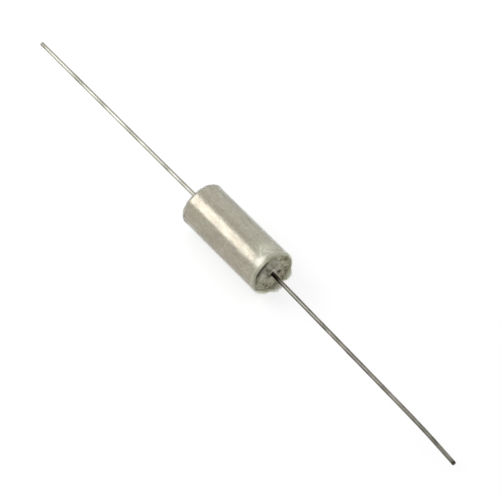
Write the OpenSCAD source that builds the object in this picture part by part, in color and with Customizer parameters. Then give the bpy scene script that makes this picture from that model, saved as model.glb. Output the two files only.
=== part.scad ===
// Hermetically sealed solid tantalum capacitor with axial leads, lying on its side.
// The origin is the middle of the can on its axis. +X points to the positive lead, +Z is up.
// Turned pieces are drawn as half sections, with the radius across and the place along X upwards.

/* [Can] */
// Outside diameter of the bare can
case_d = 7.09; // [6.9:0.01:8.5]
// Length of the bare can
case_len = 16.5; // [15:0.1:24]
// Wall of the can
case_wall = 0.3; // [0.2:0.02:0.4]
// Outside radius of the can's closed corner
case_corner_r = 0.35; // [0.25:0.05:1.2]

/* [Insulating sleeve] */
// Thickness of the shrunk film
film_t = 0.125; // [0.08:0.005:0.2]
// Room between the can and the film
film_gap = 0.035; // [0.02:0.005:0.06]
// Length of film past each end of the can, along its curl
rim_len = 0.42; // [0.3:0.02:0.8]
// How far short of the can's closed corner the film starts to curl
closed_rim_start = 0.15; // [0:0.05:0.3]
// How far the rim turns inwards at the closed end, degrees
closed_rim_curl = 92; // [60:1:110]
// How far the rim turns inwards at the sealed end, degrees
sealed_rim_curl = 84; // [60:1:110]
// How unevenly the film was cut
rim_waver = 0.035; // [0:0.005:0.08]
// Where the two tongues of uncurled film stand, degrees round from the underside
tongue_at = [11, 53]; // [0:1:90]
// Half the width of each tongue, degrees
tongue_half = [16, 15]; // [8:1:20]
// How much longer than the rim each tongue is
tongue_extra = [0.52, 0.4]; // [0.1:0.02:1]
// How far a tongue turns inwards, degrees
tongue_curl = 26; // [5:1:60]

/* [Leads] */
// Wire diameter
lead_d = 0.635; // [0.5:0.005:0.8]
// Length of each lead from its end of the can
lead_len = 41.45; // [25:0.05:60]
// Chamfer of the cut tips
tip_chamfer = 0.06; // [0.02:0.01:0.15]
// Lean of the positive lead where it leaves the seal, degrees
root_bend_deg = 1.9; // [0.5:0.1:8]
// Radius of that first bend
root_bend_r = 20; // [5:1:40]
// Bend near the positive lead's tip, degrees
tip_bend_deg = 5.4; // [1:0.1:12]
// Radius of the bend near the tip
tip_bend_r = 80; // [20:1:120]
// Straight tip past that bend
tip_straight = 3.2; // [1.5:0.1:8]
// Diameter of the negative lead's nail head
nail_head_d = 1.2; // [0.9:0.05:1.6]
// Thickness of the nail head
nail_head_t = 0.2; // [0.1:0.05:0.3]
// How far off the can's axis the negative lead was soldered on
nail_aside = 0.15; // [0:0.05:0.3]
// Diameter of the solder foot on the closed end
nail_solder_d = 4; // [3.6:0.1:5]
// Height of that solder up the lead
nail_solder_h = 1.1; // [1:0.05:1.6]

/* [Seal] */
// Depth of the seal's outer face below the can's rim
seal_recess = 0.35; // [0.2:0.05:0.8]
// Length of the seal along the axis
seal_len = 1.3; // [0.9:0.1:2]
// Bore of the seal's metal ring
seal_bore_d = 4.1; // [3.6:0.1:4.6]
// Thickness of the ring's stamped metal
seal_ring_t = 0.3; // [0.2:0.05:0.4]
// Outside diameter of the tubelet
tubelet_d = 1.5; // [1.3:0.05:1.8]
// Wall of the tubelet
tubelet_wall = 0.2; // [0.1:0.02:0.22]
// How far the tubelet stands out of the glass
tubelet_out = 0.42; // [0.36:0.02:0.7]
// How far the tubelet stands in below the glass
tubelet_in = 0.15; // [0.1:0.05:0.5]
// How far the glass climbs the tubelet at the outer face
glass_climb = 0.35; // [0.15:0.05:0.35]
// Height of the glass where it lies lowest
glass_low = 0.03; // [0:0.01:0.06]
// Where it lies lowest, from the tubelet at 0 to the ring at 1
glass_low_at = 0.63; // [0.5:0.01:0.75]
// Depth of the hollow in the inner face of the glass
glass_dip = 0.14; // [0.05:0.01:0.25]
// Height of the rim solder up the can's wall
rim_solder_h = 0.32; // [0.24:0.02:0.5]
// Thickness of the rim solder at its inner edge
rim_solder_t = 0.14; // [0.1:0.02:0.2]
// Depth of the pits in the solder and the glass
pit_depth = 0.08; // [0.04:0.01:0.09]
// Height of the solder up the lead, past the tubelet
lead_solder_h = 0.4; // [0.2:0.05:0.7]
// How far the tubelet's solder fills it from the outer end
lead_solder_depth = 0.9; // [0.5:0.1:1.2]
// Pits in the rim solder: degrees round from the underside, radius, diameter
solder_pits = [[328, 2.3, 0.34], [358, 2.45, 0.3], [72, 2.9, 0.3], [118, 2.7, 0.22], [196, 2.55, 0.26]];
// Burst bubbles in the glass: degrees round from the underside, radius, diameter
glass_pits = [[87, 1.3, 0.4], [207, 1.62, 0.44], [300, 1.4, 0.24]];

/* [Anode] */
// Diameter of the sintered slug
slug_d = 5; // [4.4:0.1:5.4]
// Length of the slug
slug_len = 9.6; // [7:0.1:10.5]
// Radius of the slug's edges
slug_edge_r = 0.25; // [0.1:0.05:0.5]
// Manganese dioxide on the slug
manganese_t = 0.08; // [0.05:0.01:0.12]
// Graphite over the manganese dioxide
graphite_t = 0.04; // [0.03:0.01:0.08]
// Silver paint over the graphite
silver_t = 0.06; // [0.04:0.01:0.1]
// How far the graphite and silver stop short of the slug's top
coat_setback = 0.7; // [0.5:0.1:1.5]
// Solder under the slug
solder_floor = 0.45; // [0.2:0.05:0.8]
// How far the solder reaches up beside the slug
solder_fill = 7.4; // [3:0.1:8.2]
// Tantalum wire diameter
anode_wire_d = 0.5; // [0.3:0.05:0.6]
// How deep the wire is pressed into the slug
wire_embed = 3; // [1.5:0.1:5]
// Outside diameter of the plastic washer on the slug
washer_d = 3.4; // [2:0.1:4]
// Thickness of the washer
washer_t = 0.3; // [0.2:0.05:0.5]
// Diameter of the weld between wire and lead
weld_d = 0.86; // [0.8:0.02:1.1]
// Length of the weld
weld_len = 0.5; // [0.3:0.05:0.8]
// Distance of the weld from the seal
weld_setback = 0.9; // [0.5:0.1:1.2]

/* [Fits] */
// Room between round pieces that are soldered, fused or coated together
joint_gap = 0.02; // [0.015:0.005:0.03]
// Thinnest edge of solder
solder_edge = 0.03; // [0.02:0.01:0.05]

/* [Hidden] */
$fn = 96;

case_r = case_d / 2;
bore_r = case_r - case_wall;
rim_x = case_len / 2;
floor_x = case_wall - rim_x;
inner_corner_r = max(case_corner_r - case_wall, 0.05);
film_r = case_r + film_gap + film_t;

seal_x = rim_x - seal_recess;
seal_in_x = seal_x - seal_len;
seal_bore_r = seal_bore_d / 2;
tubelet_r = tubelet_d / 2;
tubelet_x = seal_x + tubelet_out;
lead_r = lead_d / 2;
lead_clear_r = lead_r + joint_gap;

weld_x = seal_in_x - weld_setback;
bend_x = rim_x + tubelet_out + lead_solder_h;
root_bend_len = root_bend_r * root_bend_deg * PI / 180;
tip_bend_len = tip_bend_r * tip_bend_deg * PI / 180;
shank_len = rim_x + lead_len - bend_x - root_bend_len - tip_bend_len - tip_straight;

slug_r = slug_d / 2;
manganese_r = slug_r + joint_gap + manganese_t;
graphite_r = manganese_r + joint_gap + graphite_t;
silver_r = graphite_r + joint_gap + silver_t;
silver_x = floor_x + joint_gap + solder_floor;
graphite_x = silver_x + silver_t + joint_gap;
manganese_x = graphite_x + graphite_t + joint_gap;
slug_x = manganese_x + manganese_t + joint_gap;
slug_top_x = slug_x + slug_len;
washer_x = slug_top_x + joint_gap + manganese_t;
coat_top_x = slug_top_x - coat_setback;

// Film rims are swept as fine facets: steps round the rim and along the curl
rim_steps = 72;
curl_steps = 4;
// The swept rim is a little thinner than the film and starts inside it
rim_inset = 0.018;
rim_root = 0.05;
bend_slack = 0.003;
bend_overlap = 0.1;
// The heading die's grip on the negative lead: how much thinner, and how far past the solder
grip_slack = 0.01;
grip_past = 0.12;
past = 1;

function sq(a) = a * a;
function turn_between(a, b) = abs((a - b + 540) % 360 - 180);
function tongue(a, i) = exp(-pow(turn_between(a, tongue_at[i]) / tongue_half[i], 4));
function waver(a) = rim_waver * (sin(3 * a + 40) + 0.7 * sin(7 * a) + 0.4 * sin(13 * a + 70));
// Where the film's middle lies after s mm past the can, turning evenly by curl degrees over len
function film_at(s, len, curl) =
    let (bend_r = len / curl * 180 / PI, turned = curl * max(s, 0) / len)
    [film_r - film_t / 2 - bend_r * (1 - cos(turned)), min(s, 0) + bend_r * sin(turned)];
// The film's two faces there, as [radius, distance past the can]
function film_faces(s, len, curl, side) =
    let (turned = curl * max(s, 0) / len, half = side * (film_t / 2 - rim_inset))
    film_at(s, len, curl) + half * [cos(turned), sin(turned)];
function round_axis(p, a) = [p[0] * cos(a), p[0] * sin(a), p[1]];

// Turns a half section about the X axis
module turned() {
    rotate([0, 90, 0]) rotate_extrude() children();
}

// Half section of a plain tube or, from radius 0, of a rod
module band(from_r, to_r, from_x, to_x) {
    translate([from_r, from_x]) square([to_r - from_r, to_x - from_x]);
}

// Half section of a round bar whose lower edge is rounded
module cup_form(r, from_x, to_x, edge_r) {
    band(0, r - edge_r, from_x, to_x);
    band(0, r, from_x + edge_r, to_x);
    translate([r - edge_r, from_x + edge_r]) circle(edge_r);
}

// Half section of solder, foot_t thick at foot_r, that rises by h to a wall at wall_r.
// Its hollow face runs out level at the foot or, where it rises steeply, upright at the wall.
module fillet_form(foot_r, wall_r, from_x, h, foot_t = solder_edge) {
    out = sign(foot_r - wall_r);
    reach = abs(foot_r - wall_r) - solder_edge;
    rise = h - foot_t;
    arc_r = (sq(reach) + sq(rise)) / (2 * min(reach, rise));
    difference() {
        band(min(foot_r, wall_r), max(foot_r, wall_r), from_x, from_x + h);
        translate(reach > rise ? [foot_r, from_x + foot_t + arc_r]
                               : [wall_r + out * (solder_edge + arc_r), from_x + h])
            circle(arc_r);
    }
}

// Round hollow of the given depth between two radii, to cut into a face at x
module dip_form(from_r, to_r, x, depth) {
    half = (to_r - from_r) / 2;
    arc_r = (sq(half) + sq(depth)) / (2 * depth);
    translate([from_r + half, x + arc_r - depth]) circle(arc_r);
}

// Round-bottomed pits of the given depth in a face at x, each [degrees, radius, diameter]
module pits(list, x, depth) {
    rotate([0, 90, 0])
        for (p = list)
            let (ball_r = (sq(p[2] / 2) + sq(depth)) / (2 * depth))
            rotate([0, 0, p[0]]) translate([p[1], 0, x + ball_r - depth]) sphere(ball_r);
}

// Rim of film that curls inwards past the can, with tongues left standing where standing is 1
module film_rim(curl, standing) {
    stations = [-rim_root, for (j = [0:curl_steps]) j / curl_steps];
    count = len(stations);
    loop = 2 * count;
    points = [for (i = [0:rim_steps - 1])
        let (a = i * 360 / rim_steps,
             lift = [standing * tongue(a, 0), standing * tongue(a, 1)],
             length = rim_len + waver(a) + lift * tongue_extra,
             turn = curl + (tongue_curl - curl) * min(1, lift[0] + lift[1]))
        for (k = [0:loop - 1])
            let (s = stations[k < count ? k : loop - 1 - k])
            round_axis(film_faces(s < 0 ? s : s * length, length, turn, k < count ? 1 : -1), a)];
    faces = [for (i = [0:rim_steps - 1], k = [0:loop - 1])
        let (a = i * loop, b = (i + 1) % rim_steps * loop, l = (k + 1) % loop)
        each [[a + k, a + l, b + l], [a + k, b + l, b + k]]];
    polyhedron(points, faces);
}

// Wire along Z that turns towards X by deg, with what follows carried on from its end.
// The bend is a hair thinner than the wire, and runs a little way into the straight lengths.
module wire_bend(r, deg) {
    into = bend_overlap / r * 180 / PI;
    translate([r, 0, 0]) rotate([90, 0, 180]) rotate([0, 0, -into])
        rotate_extrude(angle = deg + 2 * into) translate([r, 0]) circle(lead_r - bend_slack);
    translate([r * (1 - cos(deg)), 0, r * sin(deg)]) rotate([0, deg, 0]) children();
}

// Straight end of a lead with its cut tip
module wire_tip(length) {
    cylinder(h = length - tip_chamfer, r = lead_r);
    translate([0, 0, length - tip_chamfer])
        cylinder(h = tip_chamfer, r1 = lead_r, r2 = lead_r - tip_chamfer);
}

module insulating_sleeve() {
    color([0.86, 0.89, 0.82, 0.35]) {
        turned() band(film_r - film_t, film_r, closed_rim_start - rim_x, rim_x);
        rotate([0, 90, 0]) translate([0, 0, rim_x]) film_rim(sealed_rim_curl, 1);
        rotate([0, -90, 0]) translate([0, 0, rim_x - closed_rim_start]) film_rim(closed_rim_curl, 0);
    }
}

module case() {
    color([0.70, 0.70, 0.64])
        turned() difference() {
            cup_form(case_r, -rim_x, rim_x, case_corner_r);
            cup_form(bore_r, floor_x, rim_x + past, inner_corner_r);
        }
}

// Stamped ring: a collar round the glass and a flange that meets the can
module seal_ring() {
    color([0.62, 0.61, 0.56])
        turned() {
            band(seal_bore_r, seal_bore_r + seal_ring_t, seal_in_x, seal_x);
            band(seal_bore_r, bore_r - joint_gap, seal_x - seal_ring_t, seal_x);
        }
}

module rim_solder() {
    color([0.60, 0.60, 0.53])
        difference() {
            turned() fillet_form(seal_bore_r, bore_r - joint_gap, seal_x, rim_solder_h, rim_solder_t);
            pits(solder_pits, seal_x + rim_solder_t, pit_depth);
        }
}

// The glass wets the tubelet and climbs it, and lies lowest nearer the ring
module glass_bead() {
    from_r = tubelet_r + joint_gap;
    to_r = seal_bore_r - joint_gap;
    low_r = from_r + (to_r - from_r) * glass_low_at;
    rise = glass_climb - glass_low;
    arc_r = (sq(low_r - from_r) + sq(rise)) / (2 * rise);
    color([0.47, 0.46, 0.38])
        difference() {
            turned() difference() {
                band(from_r, to_r, seal_in_x, seal_x + glass_climb);
                translate([low_r, seal_x + glass_low + arc_r]) circle(arc_r);
                mirror([0, 1]) dip_form(from_r, to_r, -seal_in_x, glass_dip);
            }
            pits(glass_pits, seal_x + glass_low, pit_depth);
        }
}

module tubelet() {
    color([0.66, 0.64, 0.57])
        turned() band(tubelet_r - tubelet_wall, tubelet_r, seal_in_x - tubelet_in, tubelet_x);
}

module tubelet_solder() {
    color([0.74, 0.68, 0.62])
        turned() {
            band(lead_clear_r, tubelet_r - tubelet_wall - joint_gap,
                 tubelet_x - lead_solder_depth, tubelet_x);
            fillet_form(tubelet_r - solder_edge, lead_clear_r, tubelet_x, lead_solder_h);
        }
}

module positive_lead() {
    start_x = weld_x + weld_len / 2;
    color([0.66, 0.66, 0.60])
        translate([start_x, 0, 0]) rotate([0, 90, 0]) {
            cylinder(h = bend_x - start_x, r = lead_r);
            translate([0, 0, bend_x - start_x]) wire_bend(root_bend_r, root_bend_deg) {
                cylinder(h = shank_len, r = lead_r);
                translate([0, 0, shank_len]) wire_bend(tip_bend_r, tip_bend_deg) wire_tip(tip_straight);
            }
        }
}

// Headed wire: the stretch in the solder tapers a hair, where the heading die gripped it
module negative_lead() {
    gripped = nail_solder_h + grip_past;
    color([0.80, 0.80, 0.77])
        translate([-rim_x, nail_aside, 0]) rotate([0, -90, 0]) {
            cylinder(h = nail_head_t, d = nail_head_d);
            cylinder(h = gripped, r1 = lead_r - grip_slack, r2 = lead_r);
            translate([0, 0, gripped]) wire_tip(lead_len - gripped);
        }
}

module negative_lead_solder() {
    color([0.72, 0.72, 0.68])
        translate([-rim_x, nail_aside, 0]) rotate([0, -90, 0]) rotate_extrude() difference() {
            fillet_form(nail_solder_d / 2, lead_clear_r, 0, nail_solder_h);
            band(0, nail_head_d / 2 + joint_gap, -past, nail_head_t + joint_gap);
        }
}

// Bead of melted metal between the ends of the tantalum wire and the lead
module lead_weld() {
    half = weld_len / 2;
    bulge_r = (sq(weld_d / 2) + sq(weld_len)) / weld_d;
    color([0.55, 0.54, 0.52])
        turned() intersection() {
            band(0, weld_d / 2, weld_x - half, weld_x + half);
            translate([weld_d / 2 - bulge_r, weld_x]) circle(bulge_r);
        }
}

module anode_wire() {
    color([0.50, 0.52, 0.56])
        turned() band(0, anode_wire_d / 2, slug_top_x - wire_embed, weld_x - weld_len / 2);
}

module spacer_washer() {
    color([0.95, 0.95, 0.93])
        turned() band(anode_wire_d / 2 + joint_gap, washer_d / 2, washer_x, washer_x + washer_t);
}

// Half section of the slug, or of a coat's outside, grown by by
module slug_form(by) {
    r = slug_r + by;
    edge_r = slug_edge_r + by;
    cup_form(r, slug_x - by, slug_top_x - slug_edge_r, edge_r);
    band(0, r - edge_r, slug_x - by, slug_top_x + by);
    translate([r - edge_r, slug_top_x - slug_edge_r]) circle(edge_r);
}

module anode_pellet() {
    color([0.35, 0.36, 0.38])
        turned() difference() {
            slug_form(0);
            band(0, anode_wire_d / 2 + joint_gap, slug_top_x - wire_embed - joint_gap, slug_top_x + past);
        }
}

module manganese_dioxide_coat() {
    color([0.16, 0.15, 0.14])
        turned() difference() {
            slug_form(joint_gap + manganese_t);
            slug_form(joint_gap);
            band(0, anode_wire_d / 2 + joint_gap, slug_top_x, slug_top_x + past);
        }
}

// Cup of paint round the coat below, open at the wire's end
module paint_coat(outer_r, from_x, t) {
    edge_r = slug_edge_r + outer_r - slug_r;
    turned() difference() {
        cup_form(outer_r, from_x, coat_top_x, edge_r);
        cup_form(outer_r - t, from_x + t, coat_top_x + past, edge_r - t);
    }
}

module graphite_coat() {
    color([0.22, 0.22, 0.23]) paint_coat(graphite_r, graphite_x, graphite_t);
}

module silver_coat() {
    color([0.80, 0.79, 0.76]) paint_coat(silver_r, silver_x, silver_t);
}

module cathode_solder() {
    silver_edge_r = slug_edge_r + silver_r - slug_r;
    color([0.66, 0.66, 0.64])
        turned() difference() {
            cup_form(bore_r - joint_gap, floor_x + joint_gap, silver_x + solder_fill, inner_corner_r);
            cup_form(silver_r + joint_gap, silver_x - joint_gap, silver_x + solder_fill + past,
                     silver_edge_r + joint_gap);
        }
}

insulating_sleeve();
case();
seal_ring();
rim_solder();
glass_bead();
tubelet();
tubelet_solder();
positive_lead();
negative_lead();
negative_lead_solder();
lead_weld();
anode_wire();
spacer_washer();
anode_pellet();
manganese_dioxide_coat();
graphite_coat();
silver_coat();
cathode_solder();
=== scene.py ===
import math

import bpy
import numpy as np
from mathutils import Matrix, Vector


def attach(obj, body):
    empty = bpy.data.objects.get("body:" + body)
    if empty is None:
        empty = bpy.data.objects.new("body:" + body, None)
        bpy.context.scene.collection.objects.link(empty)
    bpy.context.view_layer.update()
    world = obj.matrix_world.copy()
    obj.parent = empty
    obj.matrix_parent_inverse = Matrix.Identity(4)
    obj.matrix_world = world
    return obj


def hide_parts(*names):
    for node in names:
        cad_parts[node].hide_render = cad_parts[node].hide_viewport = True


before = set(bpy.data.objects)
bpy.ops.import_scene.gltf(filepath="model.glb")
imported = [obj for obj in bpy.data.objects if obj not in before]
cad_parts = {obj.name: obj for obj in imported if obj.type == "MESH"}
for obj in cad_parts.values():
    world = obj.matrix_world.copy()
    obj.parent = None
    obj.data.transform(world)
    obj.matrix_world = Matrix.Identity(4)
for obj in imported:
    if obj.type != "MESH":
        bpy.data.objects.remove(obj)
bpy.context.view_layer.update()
print("frame loaded:", len(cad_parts), "nodes")

mm = 0.001  # every shape below is worked out in millimetres


def skinFaces(rings, around, closed):
    # Corner numbers of the quads between neighbouring rings. A closed skin joins its last ring to its first
    ring = np.arange(rings if closed else rings - 1)[:, None]
    turn = np.arange(around)[None, :]
    nextRing = (ring + 1) % rings
    nextTurn = (turn + 1) % around
    quads = np.stack([ring * around + turn, ring * around + nextTurn,
                      nextRing * around + nextTurn, nextRing * around + turn], axis=-1)
    return quads.reshape(-1, 4)


def poleFaces(pole, firstOfRing, around, atStart):
    # A fan of triangles from one point to a ring
    turn = np.arange(around)
    here, there = firstOfRing + turn, firstOfRing + (turn + 1) % around
    middle = np.full(around, pole)
    return np.stack([middle, there, here] if atStart else [middle, here, there], axis=-1)


def meshPiece(name, points, quads, fans, values):
    # Puts corner points in millimetres, quads and triangles into a smooth mesh, with one attribute for each
    # value
    mesh = bpy.data.meshes.new(name)
    corners = np.concatenate([quads.ravel(), fans.ravel()]).astype(np.int32)
    starts = np.concatenate([np.arange(len(quads)) * 4,
                             len(quads) * 4 + np.arange(len(fans)) * 3]).astype(np.int32)
    mesh.vertices.add(len(points))
    mesh.vertices.foreach_set("co", (points * mm).astype(np.float32).ravel())
    mesh.loops.add(len(corners))
    mesh.loops.foreach_set("vertex_index", corners)
    mesh.polygons.add(len(starts))
    mesh.polygons.foreach_set("loop_start", starts)
    mesh.update(calc_edges=True)
    mesh.validate()
    mesh.shade_smooth()
    for key, amount in values.items():
        layer = mesh.attributes.new(key, "FLOAT", "POINT")
        layer.data.foreach_set("value", amount.astype(np.float32).ravel())
    piece = bpy.data.objects.new(name, mesh)
    bpy.context.scene.collection.objects.link(piece)
    return piece


def ringPiece(name, x, y, z, closed, values=None, sharp=None):
    # A skin of rings, each row one ring round the piece. A closed skin is a ring of film or solder with a
    # hole through it. An open one starts and ends in a point on its axis. Edges past sharp degrees stay
    # crisp
    rings, around = x.shape
    points = np.stack([x, y, z], axis=-1).reshape(-1, 3)
    quads = skinFaces(rings, around, closed)
    fans = np.zeros((0, 3), int)
    values = dict(values or {})
    if not closed:
        ends = points.reshape(rings, around, 3)[[0, -1]].mean(axis=1)
        points = np.concatenate([points, ends])
        count = rings * around
        fans = np.concatenate([poleFaces(count, 0, around, True),
                               poleFaces(count + 1, (rings - 1) * around, around, False)])
        values = {key: np.concatenate([amount.ravel(), amount[[0, -1]].mean(axis=1)])
                  for key, amount in values.items()}
    piece = meshPiece(name, points, quads, fans, values)
    if sharp:
        piece.data.set_sharp_from_angle(angle=math.radians(sharp))
    return piece


def turns(around):
    return np.linspace(0, 2 * np.pi, around, endpoint=False)[None, :]


def roundTheAxis(x, r, angle):
    # Turns a half section round X. Angle 0 is underneath and a quarter turn is toward +Y
    return x + 0 * angle, r * np.sin(angle), -r * np.cos(angle)


def degreesFrom(angle, at):
    # How far a place round the axis is from a given one, between -180 and 180 degrees
    return (np.degrees(angle) - at + 180) % 360 - 180


def bell(away, reach):
    # 1 in the middle, with soft flanks
    return np.exp(-(away / reach) ** 2)


def plateau(away, reach):
    # As a bell, but flat on top
    return np.exp(-(away / reach) ** 4)


def waves(along, terms):
    # A sum of sines: (how many, how much, where it starts in degrees)
    return sum(amount * np.sin(count * along + math.radians(start)) for count, amount, start in terms)


def lumps(y, z, layers):
    # Smooth random hills on a face square to X. Each layer (length in mm, height in mm, seed) adds twenty
    # sines that run in seeded directions
    total = np.zeros(np.broadcast(y, z).shape)
    sines = 20
    for size, height, seed in layers:
        draw = np.random.default_rng(seed)
        hills = np.zeros(total.shape)
        for _ in range(sines):
            way = draw.normal(size=3)
            way *= 2 * np.pi / (size * draw.uniform(0.6, 1.7)) / np.linalg.norm(way)
            hills += np.sin(way[1] * y + way[2] * z + draw.uniform(0, 2 * np.pi))
        total += height * hills / math.sqrt(sines)
    return total


def softened(corners, step):
    # Walks a half section through (along, radius, rounding) corners. Each corner becomes an arc that
    # touches both its sides, and each straight side is cut into even steps
    almostStraight = 1.56   # half the angle between two sides, in radians, past which a corner stays
    arcPoints = 8
    spots = np.array([c[:2] for c in corners], float)
    line = [spots[:1]]
    for i in range(1, len(corners) - 1):
        back, ahead = spots[i - 1] - spots[i], spots[i + 1] - spots[i]
        back, ahead = back / np.linalg.norm(back), ahead / np.linalg.norm(ahead)
        half = math.acos(np.clip(back @ ahead, -1, 1)) / 2
        bend = corners[i][2] if len(corners[i]) > 2 else 0
        if bend == 0 or half > almostStraight:
            line.append(spots[i:i + 1])
            continue
        middle = spots[i] + (back + ahead) / np.linalg.norm(back + ahead) * bend / math.sin(half)
        first = spots[i] + back * bend / math.tan(half) - middle
        last = spots[i] + ahead * bend / math.tan(half) - middle
        share = np.linspace(0, 1, arcPoints)[:, None]
        sweep = math.pi - 2 * half
        arc = (np.sin((1 - share) * sweep) * first + np.sin(share * sweep) * last) / math.sin(sweep)
        line.append(middle + arc)
    line.append(spots[-1:])
    line = np.concatenate(line)
    sides = []
    for start, stop in zip(line[:-1], line[1:]):
        cuts = max(1, math.ceil(np.linalg.norm(stop - start) / step))
        sides.append(start + (stop - start) * np.linspace(0, 1, cuts, endpoint=False)[:, None])
    return np.concatenate(sides + [line[-1:]])


def settle(piece, node, finish):
    # Every new piece rides on the one rigid body, stands for its CAD node and takes one finish
    piece.data.materials.append(finish)
    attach(piece, "root")
    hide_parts(node)


def addNode(tree, kind, **settings):
    node = tree.nodes.new(kind)
    for key, value in settings.items():
        setattr(node, key, value)
    return node


def noiseAt(tree, scale, stretch, detail=2.0):
    # Noise on the piece's own coordinates. scale counts lumps per millimetre, stretch squeezes them along
    # an axis
    place = addNode(tree, "ShaderNodeTexCoord")
    fit = addNode(tree, "ShaderNodeMapping")
    fit.inputs["Scale"].default_value = [s * scale / mm for s in stretch]
    noise = addNode(tree, "ShaderNodeTexNoise")
    noise.inputs["Scale"].default_value = 1.0
    noise.inputs["Detail"].default_value = detail
    noise.inputs["Roughness"].default_value = 0.5
    tree.links.new(place.outputs["Object"], fit.inputs["Vector"])
    tree.links.new(fit.outputs["Vector"], noise.inputs["Vector"])
    return noise.outputs["Fac"]


def rampOf(tree, source, tones):
    ramp = addNode(tree, "ShaderNodeValToRGB")
    stops = ramp.color_ramp.elements
    while len(stops) < len(tones):
        stops.new(0.5)
    for stop, (place, colour) in zip(stops, tones):
        stop.position = place
        stop.color = (*colour, 1)
    tree.links.new(source, ramp.inputs["Fac"])
    return ramp.outputs["Color"]


def rangeOf(tree, source, low, high, fromLow=0.3, fromHigh=0.7):
    # The default span is the one in which most of a noise lies
    span = addNode(tree, "ShaderNodeMapRange")
    span.inputs["From Min"].default_value = fromLow
    span.inputs["From Max"].default_value = fromHigh
    span.inputs["To Min"].default_value = low
    span.inputs["To Max"].default_value = high
    tree.links.new(source, span.inputs["Value"])
    return span.outputs["Result"]


def mixColours(tree, share, first, colour, way):
    # Sockets 6 and 7 of the node are its two colours
    mix = addNode(tree, "ShaderNodeMix", data_type="RGBA", blend_type=way)
    tree.links.new(share, mix.inputs[0])
    tree.links.new(first, mix.inputs[6])
    mix.inputs[7].default_value = (*colour, 1)
    return mix.outputs[2]


def attributeOf(tree, name):
    return addNode(tree, "ShaderNodeAttribute", attribute_name=name).outputs["Fac"]


def newFinish(name, look):
    # Colour: noise read through the look's tones, then the marks, each (attribute, colour, most, how it
    # mixes). Roughness: a finer noise between two values. Relief: noises added up as bump, each (scale per
    # mm, height in mm, stretch)
    mattFiner = 1.7
    material = bpy.data.materials.new(name)
    material.use_nodes = True
    tree = material.node_tree
    shader = tree.nodes["Principled BSDF"]
    stretch = look.get("stretch", even)
    colour = rampOf(tree, noiseAt(tree, look["blotch"], stretch, look.get("detail", 3.0)), look["tones"])
    for attribute, mark, most, way in look.get("marks", []):
        colour = mixColours(tree, rangeOf(tree, attributeOf(tree, attribute), 0, most, 0, 1), colour, mark, way)
    tree.links.new(colour, shader.inputs["Base Color"])
    matt = noiseAt(tree, look["blotch"] * mattFiner, stretch)
    tree.links.new(rangeOf(tree, matt, *look["rough"]), shader.inputs["Roughness"])
    normal = None
    for scale, height, squeeze in look["relief"]:
        bump = addNode(tree, "ShaderNodeBump")
        bump.inputs["Distance"].default_value = height * mm
        bump.inputs["Strength"].default_value = 1.0
        tree.links.new(noiseAt(tree, scale, squeeze), bump.inputs["Height"])
        if normal:
            tree.links.new(normal, bump.inputs["Normal"])
        normal = bump.outputs["Normal"]
    tree.links.new(normal, shader.inputs["Normal"])
    for socket, value in look["shader"].items():
        shader.inputs[socket].default_value = value
    return material, tree, shader


even = (1, 1, 1)
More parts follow.
